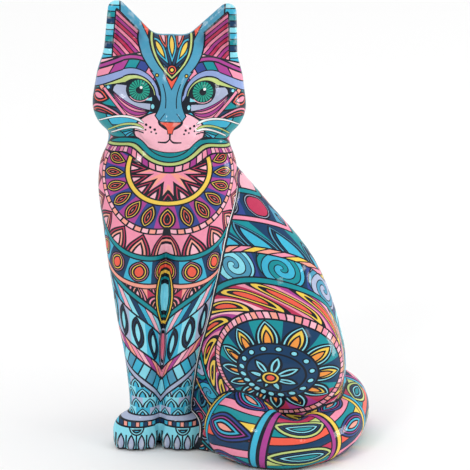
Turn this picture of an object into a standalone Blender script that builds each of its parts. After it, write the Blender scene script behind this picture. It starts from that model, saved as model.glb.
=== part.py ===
"""Seated cat figurine, cast as one solid, with its tail wrapped round to its front paws.

Metres, +Z up, the cat's face towards -Y. The origin is on the flat underside. The figure is
shaped as a field of clay: every muscle is a distance function, the functions are blended, and
the surface where the field is zero is skinned with quads, thinned, and cut flat underneath.
"""

from itertools import combinations, product

import bmesh
import bpy
import numpy as np
from mathutils import Euler, Vector

# Driving sizes
HEIGHT = 0.192  # from the floor to the ear tips
HEAD_WIDTH = 0.0645  # over the cheeks
EAR_HEIGHT = 0.031  # ear tip above the outer foot of the ear
EAR_WALL = 0.0090  # thickness of the ear at its foot
LEG_WIDTH = 0.0132  # one foreleg, above the paw
LEG_GROOVE = 0.0011  # radius of the groove between the forelegs
PAW_WIDTH = 0.0196
TAIL_WIDTH = 0.0204  # thinnest stretch of the tail, in front of the haunch
TAIL_TIP_WIDTH = 0.0296  # the blunt end, beside the paws
SINK = 0.0007  # how far the tail's round underside is flattened by the floor
GRAIN = 0.0015  # cell of the grid that skins the clay
FACES = 9400  # triangles kept in the cast

# The figure is drawn at this height, in millimetres, and scaled to HEIGHT
DRAWN_HEIGHT = 192.0
MM = HEIGHT / DRAWN_HEIGHT


def at(*place):
    """A place given in drawn millimetres, in metres."""
    return np.array(place, float) * MM


def ellipsoid(p, centre, radii):
    """Near-true distance from points p to an ellipsoid."""
    q = (p - centre) / radii
    near = np.linalg.norm(q, axis=1)
    slope = np.linalg.norm(q / radii, axis=1) + 1e-9
    return near * (near - 1.0) / slope


def tube(p, path, radii):
    """Distance to a tube through the places in path, whose radius runs from each radius to the next."""
    best = np.full(len(p), 1e9)
    for a, b, ra, rb in zip(path[:-1], path[1:], radii[:-1], radii[1:]):
        along = b - a
        share = np.clip((p - a) @ along / (along @ along), 0.0, 1.0)
        gap = np.linalg.norm(p - a - share[:, None] * along, axis=1)
        best = np.minimum(best, gap - ra - share * (rb - ra))
    return best


def smooth_path(path, radii, steps=8):
    """The same tube with its corners rounded by a Catmull-Rom curve."""
    rows = np.column_stack([path, radii])
    rows = np.vstack([2 * rows[0] - rows[1], rows, 2 * rows[-1] - rows[-2]])
    found = []
    for a, b, c, d in zip(rows[:-3], rows[1:-2], rows[2:-1], rows[3:]):
        for t in np.linspace(0.0, 1.0, steps, endpoint=False):
            found.append(
                0.5 * (2 * b + (c - a) * t + (2 * a - 5 * b + 4 * c - d) * t**2)
                + 0.5 * (3 * b - a - 3 * c + d) * t**3
            )
    found.append(rows[-2])
    found = np.array(found)
    return found[:, :3], found[:, 3]


def blend(a, b, reach):
    """Joins two fields, with a fillet about as wide as reach."""
    h = np.clip(0.5 + 0.5 * (b - a) / reach, 0.0, 1.0)
    return b + (a - b) * h - reach * h * (1.0 - h)


def carve(a, b, reach):
    """Takes field b out of field a, with rounded lips."""
    return -blend(-a, b, reach)


def head_space(p):
    """Points in the head's own axes: x across, y towards the nape, z towards the crown. The head
    looks up 11 degrees, leans 2.2 degrees and turns 1.4 degrees."""
    turn = np.array(Euler(np.radians((-11.0, 2.2, 1.4))).to_matrix())
    return (p - at(-25.1, 1.0, 151.0)) @ turn


def mirrored(q):
    """Both halves of the head folded onto its +x half."""
    return np.column_stack([np.abs(q[:, 0]), q[:, 1], q[:, 2]])


def eye_space(m):
    """Points in the axes of the eye on the +x side: y is square to the face there."""
    turn = np.array(Euler(np.radians((0.0, -12.0, 27.0))).to_matrix())
    return (m - at(13.3, -16.7, 6.4)) @ turn


def skull(q):
    """Cranium, cheeks, brows, bridge, muzzle and chin, in head space."""
    half = HEAD_WIDTH / 2
    m = mirrored(q)
    cheek = np.array([half - 13.3 * MM, -1 * MM, -1.5 * MM])
    temple = np.array([half - 15.3 * MM, 3 * MM, 9.8 * MM])
    d = ellipsoid(q, at(0, 3, 3), at(27, 24.5, 24.0))
    d = blend(d, ellipsoid(m, cheek, at(13.3, 15, 14)), 6 * MM)
    d = blend(d, ellipsoid(m, temple, at(12.6, 14, 11.5)), 6 * MM)
    d = blend(d, tube(q, [at(0, -13.0, 14), at(0, -19.2, -5.5)], [7.4 * MM, 6 * MM]), 7 * MM)
    d = blend(d, ellipsoid(m, at(5.2, -17.0, -11.6), at(7.4, 7.2, 5.8)), 5 * MM)
    d = blend(d, ellipsoid(q, at(0, -14.8, -17.4), at(6.8, 6.5, 4.8)), 5 * MM)
    e = eye_space(m)
    d = carve(d, ellipsoid(e, at(0, -7.2, 0.6), at(10.5, 4.6, 7.0)), 5 * MM)
    d = blend(d, ellipsoid(e, at(0, 0, 0), at(7.6, 3.1, 5.2)), 0.8 * MM)
    return blend(d, ellipsoid(q, at(0, -23.6, -7.6), at(4.4, 2.6, 2.4)), 1.6 * MM)


def ear_outline(x, z):
    """Distance in the ear's plane to its rounded triangle: outer foot, tip and inner foot."""
    tip = at(23.3, 10) + np.array([0.0, EAR_HEIGHT - 3.8 * MM])
    corners = [at(24.7, 10), tip, at(7.5, 22)]
    middle = np.mean(corners, axis=0)
    best = np.full(len(x), 1e9)
    outside = np.full(len(x), -1e9)
    for a, b in zip(corners, corners[1:] + corners[:1]):
        along = b - a
        out = np.array([along[1], -along[0]]) / np.hypot(*along)
        if out @ (middle - a) > 0:
            out = -out
        qx, qz = x - a[0], z - a[1]
        share = np.clip((qx * along[0] + qz * along[1]) / (along @ along), 0.0, 1.0)
        best = np.minimum(best, np.hypot(qx - share * along[0], qz - share * along[1]))
        outside = np.maximum(outside, qx * out[0] + qz * out[1])
    return np.where(outside > 0, best, -best) - 3.8 * MM


def ears(q):
    """Both ears: cupped triangles, hollow in front."""
    m = mirrored(q)
    x, y, z = m.T
    outline = ear_outline(x, z)
    rise = np.clip(z / (40 * MM), 0.0, 1.0)
    back = 4.5 * MM - 0.0042 * rise
    wall = EAR_WALL / 2 * (1.3 - 0.85 * rise)
    d = blend_max(outline, np.abs(y - back) - wall, 2.2 * MM)
    hollow = blend_max(outline + 4.4 * MM, y - back + 0.6 * MM, 2.4 * MM)
    return carve(d, hollow, 1.8 * MM)


def blend_max(a, b, reach):
    """What is inside both fields, with a rounded edge."""
    return -blend(-a, -b, reach)


def head(p):
    q = head_space(p)
    return blend(skull(q), ears(q), 3.5 * MM)


def torso(p):
    """Neck, shoulders, back and rump."""
    path = [
        at(-25.3, 4, 132),
        at(-23.3, 6, 114),
        at(-6.3, 10, 85.6),
        at(7.5, 13, 60),
        at(13, 14, 36),
        at(13.5, 14, 24),
    ]
    widths = [25.4, 25.2, 28.3, 32.8, 35.3, 35.4]
    path, radii = smooth_path(path, np.array(widths) * MM, 7)
    flat = 0.80  # the trunk is wider across than it is from front to back
    squeeze = np.array([1.0, 1 / flat, 1.0])
    return tube(p * squeeze, path * squeeze, radii) * (0.5 + 0.5 * flat)


def chest(p):
    return ellipsoid(p, at(-26.0, -4, 117), at(27.4, 18, 27))


def leg_space(p):
    """Points measured from the groove between the forelegs, which leans to +x as it rises. Both
    sides are folded onto +x."""
    x = p[:, 0] + 29.4 * MM - 0.033 * p[:, 2]
    return np.column_stack([np.abs(x), p[:, 1], p[:, 2]])


def forelegs(m):
    """Both forelegs, in leg space: each widens into its shoulder."""
    half = LEG_WIDTH / 2
    heights = np.array([8, 19, 31, 44, 58, 72, 86, 106, 122]) * MM
    widening = np.array([0.0, 0.0, 0.7, 1.8, 3.4, 4.9, 6.4, 8.4, 8.6]) * MM
    tuck = np.array([0.3, 0.3, 0.3, 0.4, 0.5, 1.0, 1.4, 2.4, 2.6]) * MM
    reach = np.array([1.0, 1.5, 2.5, 4.0, 5.5, 6.5, 6.5, 4.0, 2.0]) * MM
    radii = half + widening
    path = np.column_stack([radii - tuck, -reach, heights])
    path, radii = smooth_path(path, radii, 2)
    squeeze = np.array([1.0, 0.86, 1.0])  # a foreleg is deeper than it is wide
    return tube(m * squeeze, path * squeeze, radii)


def paws(m):
    """Both front paws with their toes, in leg space."""
    half = PAW_WIDTH / 2
    middle = np.array([half - 0.1 * MM, -1.5 * MM, 6.6 * MM])
    d = ellipsoid(m, middle, np.array([half, 12 * MM, 8.6 * MM]))
    for turn in (-1.05, -0.36, 0.36, 1.05):
        toe = middle + np.array([turn * 0.62 * half, (2.2 * turn * turn - 6.9) * MM, -2.2 * MM])
        d = blend(d, ellipsoid(m, toe, at(3.1, 5.0, 5.0)), 1.0 * MM)
    return d


def haunches(p):
    """The near thigh, which bulges towards the viewer, and the far one behind."""
    near = ellipsoid(p, at(19, -5, 34.5), at(29, 19, 33.5))
    far = ellipsoid(p, at(13, 27, 33), at(29, 15, 32))
    return np.minimum(near, far)


def tail(p):
    """From the rump round the near side, to a blunt tip beside the paws."""
    thin, tip = TAIL_WIDTH / 2, TAIL_TIP_WIDTH / 2
    path = [
        at(2, 24, 25),
        at(18, 39, 16.5),
        at(36, 41, 13),
        at(46.2, 26, 11.8),
        at(46.4, 3, 10.8),
        at(41, -18, 10.2),
        np.array([28 * MM, -33.0 * MM, thin - SINK]),
        np.array([14 * MM, -31.2 * MM, 0.5 * (thin + tip) - SINK]),
        np.array([4.5 * MM, -21 * MM, tip - SINK]),
    ]
    extra = np.array([-1.2, 0.2, 0.8, 1.2, 1.2, 0.7, 0.0]) * MM
    radii = np.concatenate([thin + extra, [0.45 * thin + 0.55 * tip, tip]])
    path, radii = smooth_path(path, radii, 5)
    return tube(p, path, radii)


def webs(p):
    """What closes the casting behind the forelegs, and on the floor between belly, paws and tail."""
    behind = tube(p, [at(-26.5, 9, 0), at(-25.0, 10, 75)], at(9, 12))
    path = [at(-18, 4, 2), at(2, -5, 2), at(16, -11, 2), at(31, -9, 3), at(38, 10, 3)]
    under = tube(p, path, at(9, 13, 14, 14, 13))
    inside_tail = tube(p, [at(8, -20, 0), at(16, -24, 0), at(35, -21, 0), at(42, -8, 0)], at(8, 8, 8, 8))
    return np.minimum(behind, np.minimum(under, inside_tail))


def trunk(p):
    """All of the body behind the forelegs and the tail."""
    return blend(blend(torso(p), haunches(p), 9 * MM), webs(p), 5 * MM)


def forequarters(p):
    """Chest, forelegs and paws, with the groove between the legs."""
    m = leg_space(p)
    front = blend(forelegs(m), chest(p), 6 * MM)
    front = blend(front, paws(m), 2.2 * MM)
    path = [at(0, -6.5, 0), at(0, -8, 30), at(0, -16, 58), at(0, -25, 68)]
    radii = LEG_GROOVE * np.array([1.4, 1.2, 1.0, 0.4])
    return carve(front, tube(m, path, radii), 1.6 * MM)


def figure(p):
    """The whole cat as one field: negative inside."""
    body = blend(trunk(p), forequarters(p), 2.0 * MM)
    body = blend(body, head(p), 4.0 * MM)
    return blend(body, tail(p), 2.0 * MM)


def field_on_grid(low, high, grain, skip=4):
    """The field at the corners of a grid over a box. Each block of skip corners a side takes the value
    at its middle, and only blocks near the surface are then worked out corner by corner."""
    blocks = np.ceil((high - low) / (grain * skip)).astype(int) + 1
    middles = (np.indices(blocks).reshape(3, -1).T * skip + (skip - 1) / 2) * grain + low
    values = figure(middles).reshape(blocks)
    for axis in range(3):
        values = np.repeat(values, skip, axis=axis)
    close = np.argwhere(np.abs(values) < 1.1 * grain * skip)
    values[tuple(close.T)] = figure(close * grain + low)
    return values


def close_pinches(values):
    """Fills grid corners wherever two lumps, or two hollows, would meet only at an edge or a point."""
    while True:
        inside = values < 0
        cube = {c: np.roll(inside, [-k for k in c], (0, 1, 2)) for c in product((0, 1), repeat=3)}
        fill = np.zeros_like(inside)
        for b, c in combinations(((1, 0, 0), (0, 1, 0), (0, 0, 1)), 2):
            d = tuple(np.add(b, c))
            fill |= np.roll(cube[0, 0, 0] & cube[d] & ~cube[b] & ~cube[c], b, (0, 1, 2))
            fill |= cube[b] & cube[c] & ~cube[0, 0, 0] & ~cube[d]
        count = sum(corner.astype(int) for corner in cube.values())
        for p in ((0, 0, 0), (1, 0, 0), (0, 1, 0), (0, 0, 1)):
            q = tuple(1 - k for k in p)
            beside = (1 - p[0], p[1], p[2])
            fill |= np.roll((count == 2) & cube[p] & cube[q], beside, (0, 1, 2))
            fill |= np.roll((count == 6) & ~cube[p] & ~cube[q], p, (0, 1, 2))
        if not fill.any():
            return values
        values[fill] = -1e-6


def skin(values, low, grain):
    """One point in each grid cell that the surface crosses, and one quad across each crossed grid edge."""
    inside = values < 0
    cells = np.array(values.shape) - 1
    total = np.zeros([*cells, 3])
    count = np.zeros(cells)
    corner = np.indices(cells).transpose(1, 2, 3, 0).astype(float)
    for axis in range(3):
        others = [k for k in range(3) if k != axis]
        for i in (0, 1):
            for j in (0, 1):
                start = [0, 0, 0]
                start[others[0]], start[others[1]] = i, j
                end = list(start)
                end[axis] = 1
                first = tuple(slice(s, s + n) for s, n in zip(start, cells))
                second = tuple(slice(s, s + n) for s, n in zip(end, cells))
                a, b = values[first], values[second]
                crossed = inside[first] != inside[second]
                share = np.where(crossed, a / np.where(crossed, a - b, 1.0), 0.0)
                place = corner + np.array(start)
                place[..., axis] += share
                total += place * crossed[..., None]
                count += crossed
    used = count > 0
    number = np.full(cells, -1)
    number[used] = np.arange(used.sum())
    points = total[used] / count[used][:, None] * grain + low
    quads = []
    for axis in range(3):
        b, c = [(axis + 1) % 3, (axis + 2) % 3]
        low_side = [slice(None)] * 3
        high_side = [slice(None)] * 3
        low_side[axis], high_side[axis] = slice(0, -1), slice(1, None)
        crossed = inside[tuple(low_side)] != inside[tuple(high_side)]
        places = np.argwhere(crossed)
        places = places[(places[:, b] > 0) & (places[:, c] > 0)]
        places = places[(places[:, b] < cells[b]) & (places[:, c] < cells[c])]
        ring = []
        for db, dc in ((1, 1), (0, 1), (0, 0), (1, 0)):
            cell = places.copy()
            cell[:, b] -= db
            cell[:, c] -= dc
            ring.append(number[tuple(cell.T)])
        ring = np.column_stack(ring)
        flip = ~inside[tuple(places.T)]
        ring[flip] = ring[flip][:, ::-1]
        quads.append(ring)
    return points, np.vstack(quads)


def settle(points, step=0.0001):
    """Moves each point along the field's slope onto the true surface."""
    value = figure(points)
    slope = np.column_stack([(figure(points + offset) - value) / step for offset in np.eye(3) * step])
    size = np.maximum((slope**2).sum(axis=1), 0.25)
    move = slope * (value / size)[:, None]
    return points - np.clip(move, -0.5 * GRAIN, 0.5 * GRAIN)


def cast_mesh():
    """The skinned clay, thinned and cut flat on the floor."""
    reach = 7 * MM
    low = at(-57, -45, 0) - reach
    high = at(59, 56, 0) + reach + np.array([0.0, 0.0, HEIGHT])
    values = field_on_grid(low, high, GRAIN)
    values[:, :, 0] = np.abs(values[:, :, 0]) + 1e-6
    points, quads = skin(close_pinches(values), low, GRAIN)
    points = settle(settle(points))
    mesh = bpy.data.meshes.new("cat")
    mesh.from_pydata(points.tolist(), [], quads.tolist())
    thin = bpy.data.objects.new("thinning", mesh)
    bpy.context.scene.collection.objects.link(thin)
    decimate = thin.modifiers.new("Thin", "DECIMATE")
    decimate.ratio = FACES / (2 * len(quads))
    decimate.use_collapse_triangulate = True
    graph = bpy.context.evaluated_depsgraph_get()
    thinned = bpy.data.meshes.new_from_object(thin.evaluated_get(graph))
    bpy.data.objects.remove(thin)
    bpy.data.meshes.remove(mesh)
    work = bmesh.new()
    work.from_mesh(thinned)
    everything = work.verts[:] + work.edges[:] + work.faces[:]
    cut = bmesh.ops.bisect_plane(
        work,
        geom=everything,
        dist=1e-6,
        plane_co=Vector((0, 0, 0)),
        plane_no=Vector((0, 0, 1)),
        clear_inner=True,
    )
    rim = [e for e in cut["geom_cut"] if isinstance(e, bmesh.types.BMEdge)]
    bmesh.ops.contextual_create(work, geom=rim)
    bmesh.ops.triangulate(work, faces=work.faces[:])
    bmesh.ops.recalc_face_normals(work, faces=work.faces[:])
    work.to_mesh(thinned)
    work.free()
    thinned.name = "cat"
    return thinned


def glaze():
    """Glossy coating over the cast, in the print's commonest teal."""
    material = bpy.data.materials.new("printed_glaze")
    material.use_nodes = True
    shader = material.node_tree.nodes["Principled BSDF"]
    shader.inputs["Base Color"].default_value = (0.06, 0.35, 0.43, 1.0)
    shader.inputs["Roughness"].default_value = 0.28
    shader.inputs["Metallic"].default_value = 0.0
    return material


def main():
    for old in list(bpy.data.objects):
        bpy.data.objects.remove(old)
    mesh = cast_mesh()
    mesh.shade_smooth()
    mesh.set_sharp_from_angle(angle=np.radians(50))
    mesh.materials.append(glaze())
    cat = bpy.data.objects.new("cat", mesh)
    bpy.context.scene.collection.objects.link(cat)


main()
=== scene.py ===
from itertools import combinations, product
from math import radians

import bpy
import numpy as np
from mathutils import Euler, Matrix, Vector


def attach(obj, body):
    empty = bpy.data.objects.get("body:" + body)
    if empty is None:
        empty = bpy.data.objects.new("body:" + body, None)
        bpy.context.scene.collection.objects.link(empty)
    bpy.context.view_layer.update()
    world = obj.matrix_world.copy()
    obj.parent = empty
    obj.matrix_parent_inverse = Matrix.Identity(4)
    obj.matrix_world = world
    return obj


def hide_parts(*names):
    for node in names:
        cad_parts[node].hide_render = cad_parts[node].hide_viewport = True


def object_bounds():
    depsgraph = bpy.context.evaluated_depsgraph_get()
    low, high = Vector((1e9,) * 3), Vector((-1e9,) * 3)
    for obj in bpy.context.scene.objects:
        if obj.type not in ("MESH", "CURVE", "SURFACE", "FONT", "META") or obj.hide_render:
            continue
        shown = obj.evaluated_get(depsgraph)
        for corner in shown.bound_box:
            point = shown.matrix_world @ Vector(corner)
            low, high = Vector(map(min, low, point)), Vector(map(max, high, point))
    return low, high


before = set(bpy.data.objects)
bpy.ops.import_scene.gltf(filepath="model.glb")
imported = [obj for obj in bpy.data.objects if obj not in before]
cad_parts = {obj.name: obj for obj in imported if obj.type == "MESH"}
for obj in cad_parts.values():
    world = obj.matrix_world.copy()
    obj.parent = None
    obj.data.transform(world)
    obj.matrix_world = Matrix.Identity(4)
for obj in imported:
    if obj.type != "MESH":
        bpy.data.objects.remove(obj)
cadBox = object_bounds()
mm = 0.001

sculpt = {
    "grain": 0.86,  # cell of the skin, in mm
    "quickGrain": 1.4,
    "skip": 5,  # cells in a block of the rough pass
    "height": 192.0,
    "headWidth": 64.5,
    "headPlace": (-25.1, 1.0, 151.0),
    "headTurn": (-11.0, 2.2, 1.4),  # degrees
    "earHeight": 31.0,
    "earWall": 9.0,
    "legWidth": 13.2,
    "legGroove": 1.1,
    "legOffset": 29.4,  # the groove's place at the floor, to the left of the origin
    "legLean": 0.033,
    "pawWidth": 19.6,
    "tailWidth": 20.4,
    "tailTipWidth": 29.6,
    "tailSink": 0.7,
}


# clay: distance fields, all in millimetres


def at(*place):
    return np.array(place, float)


def ellipsoid(p, centre, radii):
    q = (p - centre) / radii
    near = np.linalg.norm(q, axis=1)
    return near * (near - 1.0) / (np.linalg.norm(q / radii, axis=1) + 1e-9)


def tube(p, path, radii):
    best = np.full(len(p), 1e9)
    for a, b, ra, rb in zip(path[:-1], path[1:], radii[:-1], radii[1:]):
        along = b - a
        share = np.clip((p - a) @ along / (along @ along), 0.0, 1.0)
        gap = np.linalg.norm(p - a - share[:, None] * along, axis=1)
        best = np.minimum(best, gap - ra - share * (rb - ra))
    return best


def smoothPath(path, radii, steps):
    rows = np.column_stack([path, radii])
    rows = np.vstack([2 * rows[0] - rows[1], rows, 2 * rows[-1] - rows[-2]])
    found = []
    for a, b, c, d in zip(rows[:-3], rows[1:-2], rows[2:-1], rows[3:]):
        for t in np.linspace(0.0, 1.0, steps, endpoint=False):
            bend = (2 * a - 5 * b + 4 * c - d) * t**2 + (3 * b - a - 3 * c + d) * t**3
            found.append(0.5 * (2 * b + (c - a) * t + bend))
    found = np.array(found + [rows[-2]])
    return found[:, :3], found[:, 3]


def blend(a, b, reach):
    h = np.clip(0.5 + 0.5 * (b - a) / reach, 0.0, 1.0)
    return b + (a - b) * h - reach * h * (1.0 - h)


def carve(a, b, reach):
    return -blend(-a, b, reach)


def overlap(a, b, reach):
    return -blend(-a, -b, reach)


def headSpace(p):
    turn = np.array(Euler(np.radians(sculpt["headTurn"])).to_matrix())
    return (p - at(*sculpt["headPlace"])) @ turn


def mirrored(q):
    return np.column_stack([np.abs(q[:, 0]), q[:, 1], q[:, 2]])


def eyeSpace(m):
    turn = np.array(Euler(np.radians((0.0, -12.0, 27.0))).to_matrix())
    return (m - at(13.3, -16.7, 6.4)) @ turn


def skull(q):
    half = sculpt["headWidth"] / 2
    m = mirrored(q)
    d = ellipsoid(q, at(0, 3, 3), at(27, 24.5, 24.0))
    d = blend(d, ellipsoid(m, at(half - 13.3, -1, -1.5), at(13.3, 15, 14)), 6)
    d = blend(d, ellipsoid(m, at(half - 15.3, 3, 9.8), at(12.6, 14, 11.5)), 6)
    d = blend(d, tube(q, [at(0, -13.0, 14), at(0, -19.2, -5.5)], [7.4, 6.0]), 7)
    d = blend(d, ellipsoid(m, at(5.2, -17.0, -11.6), at(7.4, 7.2, 5.8)), 5)
    d = blend(d, ellipsoid(q, at(0, -14.8, -17.4), at(6.8, 6.5, 4.8)), 5)
    e = eyeSpace(m)
    d = carve(d, ellipsoid(e, at(0, -7.2, 0.6), at(10.5, 4.6, 7.0)), 5)
    d = blend(d, ellipsoid(e, at(0, 0, 0), at(7.6, 3.1, 5.2)), 0.8)
    return blend(d, ellipsoid(q, at(0, -23.6, -7.6), at(4.4, 2.6, 2.4)), 1.6)


def earOutline(x, z):
    corners = [at(24.7, 10), at(23.3, 10 + sculpt["earHeight"] - 3.8), at(7.5, 22)]
    middle = np.mean(corners, axis=0)
    best = np.full(len(x), 1e9)
    outside = np.full(len(x), -1e9)
    for a, b in zip(corners, corners[1:] + corners[:1]):
        along = b - a
        out = at(along[1], -along[0]) / np.hypot(*along)
        if out @ (middle - a) > 0:
            out = -out
        qx, qz = x - a[0], z - a[1]
        share = np.clip((qx * along[0] + qz * along[1]) / (along @ along), 0.0, 1.0)
        best = np.minimum(best, np.hypot(qx - share * along[0], qz - share * along[1]))
        outside = np.maximum(outside, qx * out[0] + qz * out[1])
    return np.where(outside > 0, best, -best) - 3.8


def ears(q):
    x, y, z = mirrored(q).T
    outline = earOutline(x, z)
    rise = np.clip(z / 40, 0.0, 1.0)
    back = 4.5 - 4.2 * rise
    wall = sculpt["earWall"] / 2 * (1.3 - 0.85 * rise)
    d = overlap(outline, np.abs(y - back) - wall, 2.2)
    return carve(d, overlap(outline + 4.4, y - back + 0.6, 2.4), 1.8)


def head(p):
    q = headSpace(p)
    return blend(skull(q), ears(q), 3.5)


def torso(p):
    path = [at(-25.3, 4, 132), at(-23.3, 6, 114), at(-6.3, 10, 85.6)]
    path += [at(7.5, 13, 60), at(13, 14, 36), at(13.5, 14, 24)]
    path, radii = smoothPath(path, [25.4, 25.2, 28.3, 32.8, 35.3, 35.4], 7)
    squeeze = at(1.0, 1 / 0.80, 1.0)
    return tube(p * squeeze, path * squeeze, radii) * 0.9


def acrossLegs(p):
    return p[:, 0] + sculpt["legOffset"] - sculpt["legLean"] * p[:, 2]


def legSpace(p):
    return np.column_stack([np.abs(acrossLegs(p)), p[:, 1], p[:, 2]])


def legPath():
    heights = at(8, 19, 31, 44, 58, 72, 86, 106, 122)
    radii = sculpt["legWidth"] / 2 + at(0.0, 0.0, 0.7, 1.8, 3.4, 4.9, 6.4, 8.4, 8.6)
    tuck = at(0.3, 0.3, 0.3, 0.4, 0.5, 1.0, 1.4, 2.4, 2.6)
    reach = at(1.0, 1.5, 2.5, 4.0, 5.5, 6.5, 6.5, 4.0, 2.0)
    return smoothPath(np.column_stack([radii - tuck, -reach, heights]), radii, 4)


def forelegs(m):
    path, radii = legPath()
    squeeze = at(1.0, 0.86, 1.0)
    return tube(m * squeeze, path * squeeze, radii)


def paws(m):
    half = sculpt["pawWidth"] / 2
    middle = at(half - 0.1, -1.5, 6.6)
    d = ellipsoid(m, middle, at(half, 12, 8.6))
    for turn in (-1.05, -0.36, 0.36, 1.05):
        toe = middle + at(turn * 0.62 * half, 2.2 * turn * turn - 6.9, -2.2)
        d = blend(d, ellipsoid(m, toe, at(3.1, 5.0, 5.0)), 1.0)
    return d


def nearThigh(p):
    return ellipsoid(p, at(19, -5, 34.5), at(29, 19, 33.5))


def tailPath():
    thin, tip, sink = sculpt["tailWidth"] / 2, sculpt["tailTipWidth"] / 2, sculpt["tailSink"]
    path = [at(2, 24, 25), at(18, 39, 16.5), at(36, 41, 13)]
    path += [at(46.2, 26, 11.8), at(46.4, 3, 10.8), at(41, -18, 10.2), at(28, -33.0, thin - sink)]
    path += [at(14, -31.2, 0.5 * (thin + tip) - sink), at(4.5, -21, tip - sink)]
    radii = list(thin + at(-1.2, 0.2, 0.8, 1.2, 1.2, 0.7, 0.0)) + [0.45 * thin + 0.55 * tip, tip]
    return smoothPath(path, radii, 8)


def tail(p):
    path, radii = tailPath()
    return tube(p, path, radii)


def webs(p):
    behind = tube(p, [at(-26.5, 9, 0), at(-25.0, 10, 75)], at(9, 12))
    path = [at(-18, 4, 2), at(2, -5, 2), at(16, -11, 2), at(31, -9, 3), at(38, 10, 3)]
    under = tube(p, path, at(9, 13, 14, 14, 13))
    path = [at(8, -20, 0), at(16, -24, 0), at(35, -21, 0), at(42, -8, 0)]
    insideTail = tube(p, path, at(8, 8, 8, 8))
    return np.minimum(behind, np.minimum(under, insideTail))


def chest(p):
    return ellipsoid(p, at(-26.0, -4, 117), at(27.4, 18, 27))


def trunk(p):
    haunches = np.minimum(nearThigh(p), ellipsoid(p, at(13, 27, 33), at(29, 15, 32)))
    return blend(blend(torso(p), haunches, 9), webs(p), 5)


def forequarters(p):
    m = legSpace(p)
    front = blend(forelegs(m), chest(p), 6)
    front = blend(front, paws(m), 2.2)
    path = [at(0, -6.5, 0), at(0, -8, 30), at(0, -16, 58), at(0, -25, 68)]
    return carve(front, tube(m, path, sculpt["legGroove"] * at(1.4, 1.2, 1.0, 0.4)), 1.6)


def figure(p):
    body = blend(trunk(p), forequarters(p), 2.0)
    body = blend(body, head(p), 4.0)
    return blend(body, tail(p), 2.0)


# skinning the clay


def fieldOnGrid(low, high, grain):
    skip = sculpt["skip"]
    blocks = np.ceil((high - low) / (grain * skip)).astype(int) + 1
    middles = (np.indices(blocks).reshape(3, -1).T * skip + (skip - 1) / 2) * grain + low
    values = figure(middles).reshape(blocks)
    for axis in range(3):
        values = np.repeat(values, skip, axis=axis)
    close = np.argwhere(np.abs(values) < 1.05 * grain * skip)
    for part in np.array_split(close, len(close) // 60000 + 1):
        values[tuple(part.T)] = figure(part * grain + low)
    return values


def closePinches(values):
    while True:
        inside = values < 0
        cube = {c: np.roll(inside, [-k for k in c], (0, 1, 2)) for c in product((0, 1), repeat=3)}
        fill = np.zeros_like(inside)
        for b, c in combinations(((1, 0, 0), (0, 1, 0), (0, 0, 1)), 2):
            d = tuple(np.add(b, c))
            fill |= np.roll(cube[0, 0, 0] & cube[d] & ~cube[b] & ~cube[c], b, (0, 1, 2))
            fill |= cube[b] & cube[c] & ~cube[0, 0, 0] & ~cube[d]
        count = sum(corner.astype(np.int8) for corner in cube.values())
        for p in ((0, 0, 0), (1, 0, 0), (0, 1, 0), (0, 0, 1)):
            q = tuple(1 - k for k in p)
            beside = (1 - p[0], p[1], p[2])
            fill |= np.roll((count == 2) & cube[p] & cube[q], beside, (0, 1, 2))
            fill |= np.roll((count == 6) & ~cube[p] & ~cube[q], p, (0, 1, 2))
        if not fill.any():
            return values
        values[fill] = -1e-3


def skin(values, low, grain):
    inside = values < 0
    cells = np.array(values.shape) - 1
    total = np.zeros([*cells, 3], np.float32)
    count = np.zeros(cells, np.int8)
    for axis in range(3):
        others = [k for k in range(3) if k != axis]
        for i, j in product((0, 1), repeat=2):
            start = [0, 0, 0]
            start[others[0]], start[others[1]] = i, j
            end = list(start)
            end[axis] = 1
            first = tuple(slice(s, s + n) for s, n in zip(start, cells))
            second = tuple(slice(s, s + n) for s, n in zip(end, cells))
            crossed = np.argwhere(inside[first] != inside[second])
            a = values[first][tuple(crossed.T)]
            b = values[second][tuple(crossed.T)]
            place = crossed + np.array(start, float)
            place[:, axis] += a / (a - b)
            total[tuple(crossed.T)] += place
            count[tuple(crossed.T)] += 1
    used = count > 0
    number = np.full(cells, -1)
    number[used] = np.arange(used.sum())
    points = total[used] / count[used][:, None] * grain + low
    quads = []
    for axis in range(3):
        b, c = (axis + 1) % 3, (axis + 2) % 3
        lowSide, highSide = [slice(None)] * 3, [slice(None)] * 3
        lowSide[axis], highSide[axis] = slice(0, -1), slice(1, None)
        places = np.argwhere(inside[tuple(lowSide)] != inside[tuple(highSide)])
        ring = []
        for db, dc in ((1, 1), (0, 1), (0, 0), (1, 0)):
            cell = places.copy()
            cell[:, b] -= db
            cell[:, c] -= dc
            ring.append(number[tuple(cell.T)])
        ring = np.column_stack(ring)
        flip = ~inside[tuple(places.T)]
        ring[flip] = ring[flip][:, ::-1]
        quads.append(ring)
    return points, np.vstack(quads)


def settle(points, grain):
    step = 0.05  # mm
    value = figure(points)
    slope = np.column_stack([(figure(points + move) - value) / step for move in np.eye(3) * step])
    move = slope * (value / np.maximum((slope**2).sum(axis=1), 0.25))[:, None]
    return points - np.clip(move, -0.5 * grain, 0.5 * grain)


def castPoints():
    grain = sculpt["grain"]
    low = at(-64, -52, -0.001)
    low[2] = 0.5 * grain - 3 * grain  # three layers below the floor
    high = at(66, 60, sculpt["height"] + 6)
    values = fieldOnGrid(low, high, grain)
    values[:, :, 0] = np.abs(values[:, :, 0]) + 1e-3
    # everything below z = 0 is cut away
    heights = low[2] + grain * np.arange(values.shape[2])
    values = np.maximum(values, -heights[None, None, :])
    points, quads = skin(closePinches(values), low, grain)
    onFloor = points[:, 2] < 0.6 * grain
    moved = settle(points, grain)
    moved[onFloor] = points[onFloor]
    low, high = np.array(cadBox) / mm
    return np.clip(moved, low, high), quads


points, quads = castPoints()
print(f"clay skinned: {len(points)} points, {len(quads)} quads")


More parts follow.
